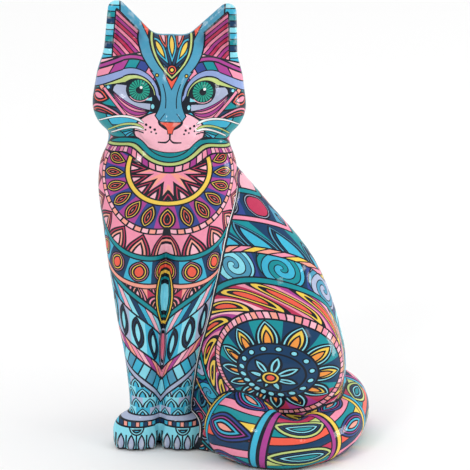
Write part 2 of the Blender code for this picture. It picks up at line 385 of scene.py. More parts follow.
# the cat's mesh


def makeCat(points, quads):
    mesh = bpy.data.meshes.new("catCast")
    mesh.from_pydata((points * mm).tolist(), [], quads.tolist())
    mesh.shade_smooth()
    cat = bpy.data.objects.new("catCast", mesh)
    bpy.context.scene.collection.objects.link(cat)
    return cat


cat = makeCat(points, quads)


# where each point lies on the figure, for the paint


def alongTail(p):
    path, radii = tailPath()
    steps = np.diff(path, axis=0)
    marks = np.concatenate([[0], np.cumsum(np.linalg.norm(steps, axis=1))])
    ways = np.vstack([steps[:1], steps[:-1] + steps[1:], steps[-1:]])
    ways /= np.linalg.norm(ways, axis=1)[:, None]
    gaps = np.stack([np.linalg.norm(p - place, axis=1) for place in path[::3]])
    along = marks[::3][np.argmin(gaps, axis=0)]
    for _ in range(14):
        centre = np.column_stack([np.interp(along, marks, column) for column in path.T])
        way = np.column_stack([np.interp(along, marks, column) for column in ways.T])
        beyond = np.maximum(along - marks[-1], 0.0)
        ahead = ((p - centre) * way).sum(axis=1) - beyond
        along = np.clip(along + 0.6 * np.clip(ahead, -4, 4), 0.0, marks[-1] + 20.0)
    way /= np.linalg.norm(way, axis=1)[:, None]
    outwards = np.cross(way, at(0, 0, 1))
    upwards = np.cross(outwards, way)
    q = p - centre
    around = np.arctan2((q * outwards).sum(axis=1), (q * upwards).sum(axis=1))
    return along, around


def roundTrunk(p):
    heights = at(24, 36, 60, 85.6, 114, 132)
    x = np.interp(p[:, 2], heights, at(13.5, 13, 7.5, -6.3, -23.3, -25.3))
    y = np.interp(p[:, 2], heights, at(14, 14, 13, 10, 6, 4))
    theta = np.arctan2(p[:, 0] - x, (y - p[:, 1]) / 0.85)
    return (np.pi / 2 - np.abs(np.mod(theta + np.pi / 2, 2 * np.pi) - np.pi)) * 30


def roundLeg(m):
    path, radii = legPath()
    x, y, radius = (np.interp(m[:, 2], path[:, 2], row) for row in (path[:, 0], path[:, 1], radii))
    angle = np.arctan2(m[:, 0] - x, y - m[:, 1])
    return np.where(angle < -2.2, angle + 2 * np.pi, angle) * radius + 9.8


def places(p):
    q, m = headSpace(p), legSpace(p)
    x, y, z = q.T
    across = np.arctan2(np.abs(x), 3 - y) * 27
    rise = np.arctan2(z - 3, np.hypot(x, y - 3)) * 25 + 3
    fore = np.minimum(blend(forelegs(m), chest(p), 6), paws(m))
    body = trunk(p)
    both = np.minimum(body, fore)
    along, around = alongTail(p)
    return {
        "headPlace": (x, y, z),
        "headRound": (across, rise, earOutline(np.abs(x), z)),
        "bodyRound": (roundTrunk(p), p[:, 2], y - 4.5 + 4.2 * np.clip(z / 40, 0.0, 1.0)),
        "legRound": (acrossLegs(p), p[:, 1], roundLeg(m)),
        "tailRound": (along, around, tail(p) - both),
        "partSides": (fore - body, head(p) - both, p[:, 2]),
    }


def writePlaces(mesh, points):
    for name, columns in places(points).items():
        rows = np.column_stack(columns).astype(np.float32)
        mesh.attributes.new(name, "FLOAT_VECTOR", "POINT").data.foreach_set("vector", rows.ravel())


writePlaces(cat.data, points)
print("places written on the mesh")


# number sockets that can be reckoned with


class Wire:
    def __init__(self, socket):
        self.socket = socket

    def __add__(self, other):
        return reckon("ADD", self, other)

    def __sub__(self, other):
        return reckon("SUBTRACT", self, other)

    def __rsub__(self, other):
        return reckon("SUBTRACT", other, self)

    def __mul__(self, other):
        return reckon("MULTIPLY", self, other)

    def __truediv__(self, other):
        return reckon("DIVIDE", self, other)

    def __rtruediv__(self, other):
        return reckon("DIVIDE", other, self)

    __radd__ = __add__
    __rmul__ = __mul__


def fill(socket, value):
    if isinstance(value, Wire):
        socket.id_data.links.new(value.socket, socket)
    else:
        socket.default_value = value


def reckon(operation, *values):
    tree = next(value for value in values if isinstance(value, Wire)).socket.id_data
    node = tree.nodes.new("ShaderNodeMath")
    node.operation = operation
    for socket, value in zip(node.inputs, values):
        fill(socket, value)
    return Wire(node.outputs[0])


def least(a, b):
    return reckon("MINIMUM", a, b)


def most(a, b):
    return reckon("MAXIMUM", a, b)


def mag(a):
    return reckon("ABSOLUTE", a)


def fraction(a):
    return reckon("FRACT", a)


def wholes(a):
    return reckon("FLOOR", a)


def cosine(a):
    return reckon("COSINE", a)


def root(a):
    return reckon("SQRT", a)


def angleOf(y, x):
    return reckon("ARCTAN2", y, x)


def below(a, b):
    return reckon("LESS_THAN", a, b)


def mix(mask, a, b):
    node = mask.socket.id_data.nodes.new("ShaderNodeMix")
    node.data_type = "RGBA"
    fill(node.inputs[0], mask)
    fill(node.inputs[6], a)
    fill(node.inputs[7], b)
    return Wire(node.outputs[2])


glaze = {
    "line": 0.33,  # half the width of an outline, in mm
    "roughness": 0.5,
    "coat": 0.4,
    "coatRoughness": 0.08,
    "roughnessScale": 180.0,
    "roughnessSpread": 0.16,
    "rippleScale": 170.0,
    "ripple": 0.08,
    "rippleDepth": 0.0004,  # metres
    "cloudScale": 55.0,  # slow drift in the print's strength
    "cloudSpread": 0.36,
    "grainScale": 900.0,
    "grainSpread": 0.16,
    "faintest": 0.74,
    "wearAndSheenFrom": 0.515,  # pointiness where edges begin to whiten: worn print, and painted sheen on the ridges
    "wearAndSheenGain": 16.0,
    "wearAndSheenMost": 0.35,
    "speckScale": 420.0,
    "speckFrom": 0.48,
    "speckGain": 8.0,
}

hues = {
    "ink": "1a212b",
    "teal": "1c8f99",
    "navy": "1c3f63",
    "turquoise": "41b3d3",
    "sky": "8adcec",
    "steel": "4f99b8",
    "lavender": "8fa3d4",
    "lilac": "adb7d2",
    "pink": "f093ad",
    "blush": "f7b9c8",
    "salmon": "f6a292",
    "magenta": "ab4392",
    "crimson": "bf3a5c",
    "coral": "f0604c",
    "yellow": "efcb55",
    "lime": "bfd080",
    "white": "f4f6f5",
    "orange": "f29a48",
    "indigo": "36498f",
    "pupil": "0a4a4c",
    "iris": "2aa48c",
}


def linear(code):
    values = [int(code[k : k + 2], 16) / 255 for k in (0, 2, 4)]
    values = [v / 12.92 if v <= 0.04045 else ((v + 0.055) / 1.055) ** 2.4 for v in values]
    return (*values, 1.0)


tint = {name: linear(code) for name, code in hues.items()}
fullTurn = 2 * np.pi
away = 99.0  # mm: added to a distance where its line isn't wanted


def ramp(value, stops):
    start = stops[1][0] - 0.5
    length = stops[-1][0] + 0.5 - start
    place = (value - start) / length
    node = place.socket.id_data.nodes.new("ShaderNodeValToRGB")
    fill(node.inputs[0], place)
    node.color_ramp.interpolation = "CONSTANT"
    elements = node.color_ramp.elements
    elements.remove(elements[1])
    elements[0].color = tint[stops[0][1]]
    for position, name in stops[1:]:
        elements.new((position - start) / length).color = tint[name]
    return Wire(node.outputs[0])


def palette(index, words):
    names = words.split()
    share = reckon("FLOORED_MODULO", index + 0.5, len(names))
    return ramp(share, [(k, name) for k, name in enumerate(names)])


def line(colour, d, half=glaze["line"]):
    return mix(below(mag(d), half), colour, tint["ink"])


def shape(colour, d, bands, half=glaze["line"]):
    stops = [(-9, "ink")]
    for inset, name in bands:
        stops += [(inset + half, name), (inset - half, "ink")]
    return mix(below(d, half), colour, ramp(d * -1.0, sorted(stops)))


def arch(u, v, a, b):
    t = v / b
    return (mag(u) / a + t * t - 1.0) * a * 0.8


def leaf(u, v, half, width):
    bulge = (half * half + width * width) / (width * 2.0)
    x = mag(u) + (bulge - width)
    return root(x * x + v * v) - bulge


def disc(u, v, r):
    return root(u * u + v * v) - r


def cell(u, n):
    k = wholes(u * n)
    return u * n - k - 0.5, k


def stripes(w, pitch, words, half=0.24):
    k = wholes(w / pitch)
    m = palette(k, words)
    return line(m, (mag(w / pitch - k - 0.5) - 0.5) * pitch, half)


def over(colour, r, low, paint):
    return mix(below(low, r), colour, paint)


# body behind the legs: egg-shaped rings round the haunch

haunch = {
    "middle": (3.0, 36.0),  # mm round the trunk, and up
    "edges": (8.0, 11.2, 18.6, 21.0, 29.6, 31.6, 40.0, 42.2, 51.0, 52.8, 60.8, 62.6, 70.0),
    "flower": 8,  # how many of each go round a ring
    "beads": 18,
    "petals": 13,
    "slantingLeaves": 15,
    "curls": 15,
    "feathers": 26,
    "smallLeaves": 30,
    "outerPetals": 32,
}


def paintTrunk(c):
    ds, dz = c["s"] - haunch["middle"][0], c["z"] - haunch["middle"][1]
    r0 = root(ds * ds + dz * dz)
    ang = angleOf(dz, ds)
    lean = cosine(ang - 0.85) * 0.36 + 1.0
    r = r0 / lean
    t = ang / fullTurn + 0.5
    w = r0 * fullTurn
    # flower in the middle
    n = haunch["flower"]
    u, _ = cell(t, n)
    d = arch(u * w / n, (r - 1.5) * lean, w / n * 0.46, lean * 5.6)
    col = shape(tint["navy"], d, [(0, "sky"), (1.1, "turquoise")])
    col = shape(col, r0 - 2.6, [(0, "yellow"), (1.2, "coral")])
    # beads
    n = haunch["beads"]
    u, _ = cell(t, n)
    m = shape(tint["navy"], disc(u * w / n, (r - 9.6) * lean, 1.0), [(0, "sky")], 0.25)
    col = over(col, r, 8.0, m)
    # tall petals
    n = haunch["petals"]
    u, k = cell(t, n)
    pu, pv = u * w / n, (r - 11.2) * lean
    m = mix(below(dz, -7.0), palette(k, "navy teal"), palette(k, "magenta crimson"))
    m = shape(m, arch(pu, pv, w / n * 0.45, lean * 7.0), [(0, "sky"), (1.0, "yellow")])
    m = shape(m, arch(pu, pv, w / n * 0.17, lean * 4.0), [(0, "orange")], 0.25)
    col = over(col, r, 11.2, m)
    col = over(col, r, 18.6, stripes(t * 140.0, 2.0, "pink salmon blush"))
    # slanting leaves
    n = haunch["slantingLeaves"]
    u, k = cell(t - r * 0.012, n)
    d = leaf(u * w / n, (r - 25.3) * lean, lean * 4.6, w / n * 0.36)
    m = shape(palette(k, "magenta pink crimson blush"), d, [(0, "yellow"), (2.2, "coral")], 0.6)
    col = over(col, r, 21.0, m)
    col = over(col, r, 29.6, tint["teal"])
    # curls
    n = haunch["curls"]
    u, k = cell(t + 0.03, n)
    pu, pv = u * w / n, (r - 35.8) * lean
    rho = root(pu * pu + pv * pv)
    spin = fraction(angleOf(pv, pu) / fullTurn + rho * 0.2)
    curl = mix(below(spin, 0.56), palette(k, "teal steel"), palette(k, "lilac turquoise sky"))
    seam = most(below(mag(spin - 0.56), 0.045), below(0.455, mag(spin - 0.5)))
    curl = mix(seam, curl, tint["ink"])
    m = mix(below(rho, w / n * 0.46 + 0.3), palette(k, "navy indigo"), tint["ink"])
    m = mix(below(rho, w / n * 0.46 - 0.3), m, curl)
    col = over(col, r, 31.6, m)
    # rope
    col = over(col, r, 40.0, stripes((t + r * 0.01) * 120.0, 2.0, "yellow pink salmon"))
    # feathers
    n = haunch["feathers"]
    u, k = cell(t - r * 0.003, n)
    d = arch(u * w / n, (r - 42.2) * lean, w / n * 0.48, lean * 8.2)
    m = shape(palette(k, "teal navy"), d, [(0, "steel"), (1.2, "navy"), (2.2, "turquoise")])
    col = over(col, r, 42.2, m)
    col = over(col, r, 51.0, tint["pink"])
    # two outer rings, up the back
    n = haunch["smallLeaves"]
    u, k = cell(t + 0.01, n)
    d = leaf(u * w / n, (r - 56.8) * lean, lean * 3.9, w / n * 0.38)
    m = shape(palette(k, "indigo steel navy"), d, [(0, "lilac"), (0.9, "crimson")])
    col = over(col, r, 52.8, m)
    col = over(col, r, 60.8, tint["teal"])
    n = haunch["outerPetals"]
    u, k = cell(t, n)
    d = arch(u * w / n, (r - 62.6) * lean, w / n * 0.46, lean * 6.6)
    m = shape(palette(k, "turquoise navy"), d, [(0, "salmon"), (1.0, "magenta"), (2.0, "blush")])
    col = over(col, r, 62.6, m)
    col = over(col, r, 70.0, stripes(r, 3.2, "pink steel salmon teal"))
    for edge in haunch["edges"]:
        col = line(col, (r - edge) * lean, 0.36)
    return col


# legs: bands that dip towards the middle line

legBands = {
    "dip": 1.25,  # mm down for each mm away from the middle line
    "bow": 0.012,
    "slope": 0.62,
    "edges": (17.0, 20.0, 28.0, 33.0, 49.0, 56.0, 59.0, 66.0, 73.0),
    "scales": (5.4, 4.6),  # width and height of one, in mm
    "drops": 5.6,
    "fans": 7.0,
}


def paintLegs(c):
    b, z = most(c["b"], 0.0), c["z"]
    slope = legBands["slope"]
    f = z - b * legBands["dip"] + b * b * legBands["bow"]
    wide, tall = legBands["scales"]
    row = wholes(z / tall)
    u, k = cell(b / wide + row * 0.5, 1.0)
    d = arch(u * wide, z - row * tall, 2.5, 4.0)
    col = palette(k + row, "turquoise sky lilac")
    col = shape(col, d, [(0, "sky"), (1.0, "turquoise")], 0.26)
    col = over(col, f, 17.0, tint["lilac"])
    col = over(col, f, 20.0, stripes(b + f * 0.3, 2.6, "sky turquoise steel"))
    col = over(col, f, 28.0, stripes(b - f * 0.7, 2.6, "pink salmon magenta blush"))
    wide = legBands["drops"]
    u, k = cell(b / wide + 0.5, 1.0)
    d = leaf(u * wide, (f - 41.0) * slope, 4.4, 1.9)
    m = shape(palette(k, "lilac turquoise sky"), d, [(0, "navy"), (0.8, "sky")])
    col = over(col, f, 33.0, m)
    col = over(col, f, 49.0, stripes(b - f * 0.6, 2.8, "navy sky blush turquoise"))
    col = over(col, f, 56.0, tint["teal"])
    wide = legBands["fans"]
    row = wholes((f - 59.0) / wide)
    u, k = cell(b / wide + row * 0.5, 1.0)
    d = arch(u * wide, (f - 59.0 - row * wide) * slope, 3.4, 3.9)
    m = palette(k + row, "crimson salmon coral")
    m = shape(m, d, [(0, "pink"), (1.1, "salmon"), (2.0, "blush")])
    col = over(col, f, 59.0, m)
    col = over(col, f, 73.0, tint["pink"])
    for edge in legBands["edges"]:
        col = line(col, (f - edge) * slope)
    return col


# chest: a bib of rings hung from the chin

bib = {
    "top": 127.0,  # height of the rings' middle, in mm
    "reach": 54.0,
    "edges": (14.0, 16.2, 27.0, 29.4, 39.0, 41.2, 51.6, 53.8),
    "petals": 16,
    "leaves": 22,
    "tongues": 24,
    "seeds": 30,
}


def paintChest(c):
    b, drop = most(c["b"], 0.0), bib["top"] - c["z"]
    r = root(b * b * 1.2 + drop * drop)
    t = angleOf(b, drop) / fullTurn
    w = r * fullTurn
    n = bib["petals"]
    u, k = cell(t + 0.5 / n, n)
    d = arch(u * w / n, 14.0 - r, w / n * 0.45, 7.0)
    col = shape(palette(k, "salmon pink"), d, [(0, "crimson"), (0.9, "blush")])
    n = bib["leaves"]
    u, k = cell(t + 0.5 / n, n)
    d = leaf(u * w / n, r - 21.6, 5.0, w / n * 0.36)
    m = shape(palette(k, "magenta indigo"), d, [(0, "yellow"), (0.9, "coral"), (1.8, "salmon")])
    col = over(col, r, 14.0, tint["yellow"])
    col = over(col, r, 16.2, m)
    col = over(col, r, 27.0, stripes(t * 124.0, 2.0, "blush salmon"))
    n = bib["tongues"]
    u, _ = cell(t + 0.5 / n, n)
    d = arch(u * w / n, 39.0 - r, w / n * 0.46, 9.0)
    m = shape(tint["pink"], d, [(0, "crimson"), (1.0, "salmon"), (2.2, "blush")])
    col = over(col, r, 29.4, m)
    col = over(col, r, 39.0, tint["teal"])
    n = bib["seeds"]
    u, k = cell(t + 0.5 / n, n)
    d = leaf(u * w / n, r - 46.4, 4.6, w / n * 0.38)
    m = shape(palette(k, "navy turquoise"), d, [(0, "pink"), (0.8, "yellow"), (1.8, "coral")])
    col = over(col, r, 41.2, m)
    col = over(col, r, 51.6, tint["salmon"])
    for edge in bib["edges"]:
        col = line(col, r - edge)
    return col, r - bib["reach"]


paw = {
    "middle": 9.7,  # mm from the groove between the legs
    "toe": 4.3,
    "toeTop": 7.4,
    "cuff": 10.6,
    "cuffTop": 12.6,
    "top": 15.0,
}


def paintPaws(c):
    x, z = mag(c["lx"]), c["z"]
    col = mix(below(c["ly"], -2.0), tint["turquoise"], tint["sky"])
    u, _ = cell((x - paw["middle"]) / paw["toe"], 1.0)
    col = line(col, (mag(u) - 0.5) * paw["toe"] + below(paw["toeTop"], z) * away)
    col = shape(col, leaf(u * paw["toe"], z - 3.4, 4.0, 1.35), [(0, "lilac")])
    d = disc(mag(x - paw["middle"]), z - paw["cuff"], 3.0)
    col = shape(col, most(d, z - paw["cuff"]), [(0, "sky"), (1.0, "turquoise")])
    col = over(col, z, paw["cuff"], stripes(x, 1.7, "navy turquoise salmon"))
    col = line(col, z - paw["cuff"])
    col = over(col, z, paw["cuffTop"], tint["lilac"])
    return line(col, z - paw["cuffTop"])


def paintFore(c):
    b, z = most(c["b"], 0.0), c["z"]
    col = paintLegs(c)
    chest, edge = paintChest(c)
    col = mix(below(edge, 0.0), col, chest)
    # leaves down the groove
    col = shape(col, leaf(b, z - 68.0, 13.0, 3.6), [(0, "yellow"), (1.3, "teal"), (2.4, "sky")])
    col = shape(col, leaf(b, z - 43.0, 11.0, 2.8), [(0, "lilac"), (1.0, "pink")])
    # collar under the jaw
    j = c["headSide"]
    col = mix(below(j, 7.4), col, stripes(b, 2.2, "magenta blush pink"))
    col = mix(below(j, 4.8), col, tint["lime"])
    col = mix(below(j, 3.0), col, tint["teal"])
    col = line(line(line(col, j - 7.4), j - 4.8), j - 3.0)
    col = mix(below(z, paw["top"]), col, paintPaws(c))
    return line(col, z - paw["top"])


# tail: segments of long leaves over stripes, by turns warm and cool

tailBands = {
    "segment": 24.0,  # mm along the tail
    "leaves": 5,  # round the tail
    "leaf": (10.0, 4.8),  # half its length and half its width, in mm
    "band": 9.4,
    "bandEnd": 11.4,
    "warm": "coral yellow teal pink navy",
    "cool": "navy coral teal lime crimson",
}


def paintTail(c):
    a, t = c["ta"], c["tr"] / fullTurn + 0.5
    seg = (a + 6.0) / tailBands["segment"]
    j = wholes(seg)
    v = (seg - j - 0.5) * tailBands["segment"]
    lane = t * 20.0 + v * 0.05
    u, _ = cell(t + fraction(j * 0.5) * 0.2, tailBands["leaves"])
    d = leaf(u * 14.4, v, *tailBands["leaf"])
    bands = [(0, "indigo"), (1.3, "magenta"), (2.3, "turquoise"), (3.6, "salmon")]
    warm = shape(stripes(lane * 3.6, 3.6, tailBands["warm"], 0.26), d, bands)
    bands = [(0, "lime"), (1.5, "navy"), (2.5, "sky"), (3.6, "teal")]
    cool = shape(stripes(lane * 3.6, 3.6, tailBands["cool"], 0.26), d, bands)
    col = mix(below(0.25, fraction(j * 0.5)), warm, cool)
    col = over(col, mag(v), tailBands["band"], palette(j, "turquoise yellow magenta"))
    col = line(col, mag(v) - tailBands["band"])
    return over(col, mag(v), tailBands["bandEnd"], tint["ink"])


# head: eyes, nose, muzzle and whiskers, with leaves on the forehead and cheeks

features = {
    "eye": (13.35, 5.3),  # mm out from the middle line and up, of the iris
    "iris": 4.3,
    "pupil": 1.5,
    "irisRays": 20,
    "cheekLeaves": (  # out, up, lean, half length, half width, colours
        (30.4, -3.4, 0.16, 8.0, 2.8, ((0, "pink"), (1.2, "coral"), (2.1, "crimson"))),
        (32.6, 1.9, 0.14, 5.6, 2.1, ((0, "coral"), (1.0, "pink"))),
        (32.2, 4.9, 0.45, 3.2, 1.1, ((0, "salmon"),)),
    ),
    "freckles": (  # out, up, radius
        (10.1, -9.0, 0.55),
        (8.4, -9.9, 0.55),
        (6.5, -10.7, 0.55),
        (10.3, -11.1, 0.42),
        (7.9, -11.8, 0.42),
        (5.9, -12.3, 0.42),
    ),
    "whiskers": (  # height, middle, bow, how far out, colour
        (-6.3, 19.5, 0.030, 29.5, "white"),
        (-9.5, 16.0, 0.040, 25.5, "lime"),
        (-10.9, 13.5, 0.030, 24.0, "white"),
    ),
    "cheekRays": 15,
    "jawFeathers": 40,
    "backPetals": 10,
    "fanLeaves": 11,
}


def paintHead(c):
    x, y, z = c["hx"], c["hy"], c["hz"]
    a = mag(x)
    face = below(y, 0.0)
    # cheeks
    ga, gz = c["ax"] - 17.0, c["az"] + 3.0
    r = root(ga * ga + gz * gz)
    n = features["cheekRays"]
    u, k = cell(angleOf(gz, ga) / fullTurn + 0.04, n)
    col = palette(k, "navy teal turquoise")
    col = line(col, (mag(u) - 0.5) * r * fullTurn / n)
    for out, up, lean, half, width, bands in features["cheekLeaves"]:
        la, lz = c["ax"] - out, c["az"] - up
        col = shape(col, leaf(lz - la * lean, la + lz * lean, half, width), bands)
    col = over(col, r, 20.6, palette(k, "teal navy turquoise"))
    col = line(col, r - 20.6)
    ga, gz = c["ax"], c["az"] + 4.0
    r = root(ga * ga + gz * gz)
    t = angleOf(ga, gz) / fullTurn
    w = r * fullTurn
    # jaw: blue feathers, plain under the chin
    n = features["jawFeathers"]
    u, k = cell(t + r * 0.0018, n)
    m = palette(k, "turquoise teal turquoise steel")
    m = line(m, (mag(u) - 0.5) * w / n, 0.24)
    m = over(m, r, 28.5, tint["teal"])
    m = line(m, r - 28.5)
    chin = a + z - 1.6
    m = mix(below(chin, 0.0), m, tint["teal"])
    m = line(m, chin)
    jawLine = z - a * 0.1 + 8.4
    col = mix(below(jawLine, 0.0), col, m)
    col = line(col, jawLine)
    # round the eye
    ea, ez = a - 14.3, z - 2.94
    er = root(ea * ea + ez * ez)
    q = ea / er
    corner = (z * 0.595 + 5.08 - a) * 0.86
    rim = least(er - 7.9 - (q + 1.0) * (q * 0.3 + 0.75), most(corner - 0.75, z - 3.9))
    brow = rim + below(20.3, a) * ((z - 9.5) * 0.9 + (a - 21.5) * 0.42 - rim)
    thick = q * 0.9 + 2.15
    # crescent under the eye
    bend = a - 9.5
    under = bend * bend * 0.027 + bend * 0.08 - 2.95 - z
    depth = most(5.3 - (a - 17.0) * (a - 17.0) * 0.0734, 0.3)
    share = under / depth
    m = ramp(share, [(-9, "magenta"), (0.18, "pink"), (0.44, "magenta"), (0.78, "pink")])
    for edge in (0.18, 0.44, 0.78):
        m = line(m, (share - edge) * depth, 0.24)
    barSide = ((a - 27.4) * 10.05 - (z - 4.3) * 8.6) / 13.23
    barAlong = ((27.4 - a) * 8.6 + (4.3 - z) * 10.05) / 13.23
    crescent = most(most(under - depth, 0.0 - under), barSide)
    col = mix(below(crescent, 0.35) * face, col, tint["ink"])
    col = mix(below(crescent, -0.15) * face, col, m)
    socket = most(most(brow, under), barSide)
    col = mix(below(socket, 0.0) * face, col, mix(below(24.9, a), tint["ink"], tint["navy"]))
    bar = most(mag(barSide) - 0.5, mag(barAlong - 6.2) - 6.9)
    col = mix(below(bar, 0.35) * face, col, tint["ink"])
    col = mix(below(bar, 0.0) * face, col, tint["pink"])
    # brow and the bands above it
    m = stripes(a * 0.9 + z * 0.5 + 30.0, 4.2, "teal magenta pink indigo")
    m = mix(below(5.9, brow), m, tint["magenta"])
    m = line(m, brow - 5.9)
    m = mix(below(7.6, brow), m, tint["blush"])
    m = line(m, brow - 7.6)
    upper = below(brow, 9.2) * below(0.0, brow) * face * below(3.0, z + (a - 20.0) * 0.4)
    col = mix(upper, col, m)
    col = line(col, brow - 9.2 + below(z, 8.0) * away + below(0.0, y) * away)
    gap = most(a - 8.4, mag(z - 4.4) - 5.4)
    col = mix(below(gap, 0.0) * face, col, tint["ink"])
    strip = most(mag(brow - thick * 0.5) - thick * 0.5, -0.7 - z)
    col = mix(below(strip, 0.3) * face, col, tint["ink"])
    col = mix(below(strip, -0.15) * face, col, tint["lavender"])
    # grey band, its cap, lid
    eyeOut, eyeUp = features["eye"]
    ix, iz = a - eyeOut, z - eyeUp
    ir = root(ix * ix + iz * iz)
    outer = below(0.0, ix)
    lower = outer * (ir - 5.2) + (1.0 - outer) * (0.1 - z)
    outerEnd = most(a + z * 0.3 - 25.5, (a + z - 29.6) * 0.7)
    grey = most(most(z - 6.8, 0.35 - lower), most(under + 0.25, most(8.6 - a, outerEnd)))
    col = mix(below(grey, 0.0) * face, col, tint["lilac"])
    col = mix(below(disc(a - 7.6, (z + 1.3) * 0.7, 0.68), 0.0) * face, col, tint["sky"])
    col = mix(below(disc(a - 26.2, z - 5.4, 0.6), 0.0) * face, col, tint["sky"])
    opening = most(least(er - 7.0, most(corner, z - 3.9)), lower)
    lid = most(most(brow + 0.42, 7.25 - er), 3.6 - z + below(14.3, a) * (9.4 - a * 0.25))
    col = mix(below(lid, 0.0) * face, col, tint["lime"])
    # ears
    edge = c["earEdge"]
    earLine = z - 20.0 + (a - 14.0) * 0.25
    side = a - 20.5 - z * 0.04
    m = mix(below(0.0, side), tint["steel"], stripes(z, 2.6, "navy teal turquoise sky"))
    m = line(m, side)
    hair = stripes(z * 0.62 - a * 0.55 + 40.0, 1.25, "pink crimson magenta", 0.17)
    panel = arch(x, z - 26.0, 9.2, 15.6)
    hollow = most(edge + 3.4, 3.9 - panel)
    m = mix(below(hollow, 0.3), m, tint["ink"])
    m = mix(below(hollow, -0.3), m, hair)
    rear = stripes(edge + 40.0, 2.6, "teal navy steel", 0.26)
    m = mix(below(c["earDepth"], 0.0), rear, m)
    isEar = below(edge, 0.6) * below(0.0, earLine)
    col = mix(isEar, col, m)
    col = line(col, earLine + below(0.6, edge) * away)
    # rings and a flower behind the face
    notEar = 1.0 - isEar
    bz = z - 2.0
    r = root(x * x + bz * bz)
    n = features["backPetals"]
    w = r * fullTurn / n
    u, k = cell(angleOf(x, bz) / fullTurn, n)
    d = arch(u * w, r - 2.6, w * 0.47, 9.0)
    m = shape(palette(k, "navy indigo"), d, [(0, "turquoise"), (1.2, "pink"), (2.2, "sky")])
    m = shape(m, r - 3.4, [(0, "yellow"), (1.2, "orange")])
    behind = stripes(y + 30.0, 4.0, "turquoise teal navy steel")
    m = over(m, r, 12.6, behind)
    m = line(m, r - 12.6)
    m = mix(below(12.0, y), behind, m)
    col = mix(below(0.0, y) * notEar, col, m)
    col = line(col, y + isEar * away, 0.4)
    # muzzle
    mz = z + 12.6
    muzzle = root(a * a * 0.45 + mz * mz * (below(mz, 0.0) * 0.5 + 1.0)) - 9.9
    muzzle = least(muzzle, root((a - 6.8) * (a - 6.8) + (z + 9.0) * (z + 9.0)) - 4.1)
    snout = below(y, -4.0)
    col = mix(below(muzzle, 0.35) * snout, col, tint["ink"])
    m = tint["blush"]
    for out, up, size in features["freckles"]:
        m = mix(below(disc(a - out, z - up, size), 0.0), m, tint["ink"])
    col = mix(below(muzzle, -0.2) * snout, col, m)
    # nose bridge and rims up to the ears
    bridge = most(a - 4.45 - (z - 2.5) * (z - 2.5) * 0.037, a - 10.2 - z * 0.75)
    blue = least(most(bridge, z - 13.4), most(panel - 4.0, 8.0 - z))
    m = mix(most(below(blue, -0.3), below(21.5, z)), tint["ink"], tint["steel"])
    side = a - 2.2 - (z - 1.0) * (z - 1.0) * 0.027
    m = line(m, side + below(8.6, z) * away + below(z, -1.6) * away, 0.22)
    m = line(m, a + z * 0.714 + 0.2 + below(-3.7, z) * away + below(z, -7.2) * away, 0.2)
    fz = z - 14.4
    fr = root(x * x + fz * fz)
    n = features["fanLeaves"]
    fw = fr * fullTurn / n
    ft = angleOf(x, fz) / fullTurn + 0.5 / n
    u, _ = cell(ft, n)
    d = leaf(u * fw, fr - 8.0, 6.0, fw * 0.4)
    fan = shape(tint["navy"], d, [(0, "turquoise"), (1.0, "yellow")], 0.26)
    u, _ = cell(ft + 0.5 / n, n)
    fan = shape(fan, leaf(u * fw, fr - 13.5, 5.0, 1.7), [(0, "coral"), (0.8, "blush")], 0.26)
    fan = shape(fan, disc(x, fz, 2.0), [(0, "coral"), (1.0, "yellow")])
    m = shape(m, panel, [(0, "lime")])
    m = mix(below(panel, -1.5), m, fan)
    m = line(m, panel + 1.3)
    chevron = most(0.6 - panel, (a * 2.0 + 6.6 - z) * 0.447)
    m = mix(below(chevron, 0.3), m, tint["ink"])
    m = mix(below(chevron, -0.1), m, tint["coral"])
    m = shape(m, disc(a - 6.2, z - 11.9, 0.65), [(0, "yellow")], 0.24)
    clear = 1.0 - isEar * below(hollow, 0.3)
    col = mix(below(blue, 0.3) * face * below(-7.6, z) * clear, col, m)
    # nose and lips
    snout = below(y, -10.0)
    fall = z + 7.4
    fall = fall * fall
    nostril = most(a - 5.3 + fall * 0.33, z + 7.0)
    col = mix(below(nostril, 0.0) * snout, col, tint["ink"])
    nose = a - 0.5 - 3.8 / (fall * 0.45 + 1.0)
    nose = most(nose, mag(z + 9.85) - 2.45)
    col = mix(below(nose, 0.35) * snout, col, tint["ink"])
    col = mix(below(nose, 0.0) * snout, col, tint["coral"])
    curl = most(1.9 - a, 0.0)
    lips = mag(z + 16.25 - curl * curl * 0.374 - (a - 3.0) * (a - 3.0) * 0.03) - 0.5 + a * 0.04
    lips = most(lips, a - 5.0)
    lips = least(lips, most(a - 0.4, mag(z + 13.7) - 1.5))
    col = mix(below(lips, 0.0) * snout, col, tint["ink"])
    # eyes
    u, _ = cell(angleOf(iz, ix) / fullTurn + 0.5, features["irisRays"])
    iris = mix(below(mag(u), 0.31), tint["pupil"], tint["iris"])
    iris = mix(below(ir, features["pupil"]), iris, tint["ink"])
    eye = mix(below(ir, features["iris"]), tint["ink"], iris)
    half = below(0.0, x) * 2.0 - 1.0
    eye = mix(below(disc(x - half * eyeOut - 0.7, z - 6.5, 0.6), 0.0), eye, tint["white"])
    tear = most(most(z + a * 0.5 - 6.7, 1.1 - z), most(4.8 - ir, 8.0 - a))
    eye = mix(below(tear, 0.0), eye, tint["sky"])
    eye = mix(below(mag(ir - 4.85), 0.15) * below(z + mag(ix) * 0.2, 3.0), eye, tint["blush"])
    col = mix(below(opening, 0.0) * face, col, eye)
    # whiskers
    for top, middle, bow, reach, name in features["whiskers"]:
        d = mag(z - top + (a - middle) * (a - middle) * bow)
        d = d + most(a - 14.0, 0.0) * 0.014 + most(12.4 - a, 0.0) * 0.25
        on = below(11.0, a) * below(a, reach) * below(y, -1.0)
        col = mix(on * below(d, 0.74), col, tint["ink"])
        col = mix(on * below(d, 0.46), col, tint[name])
    d = z + 12.3 + (a - 12.6) * (a - 12.6) * 0.085
    return line(col, d + below(a, 11.0) * away + below(18.5, a) * away + below(-1.0, y) * away)


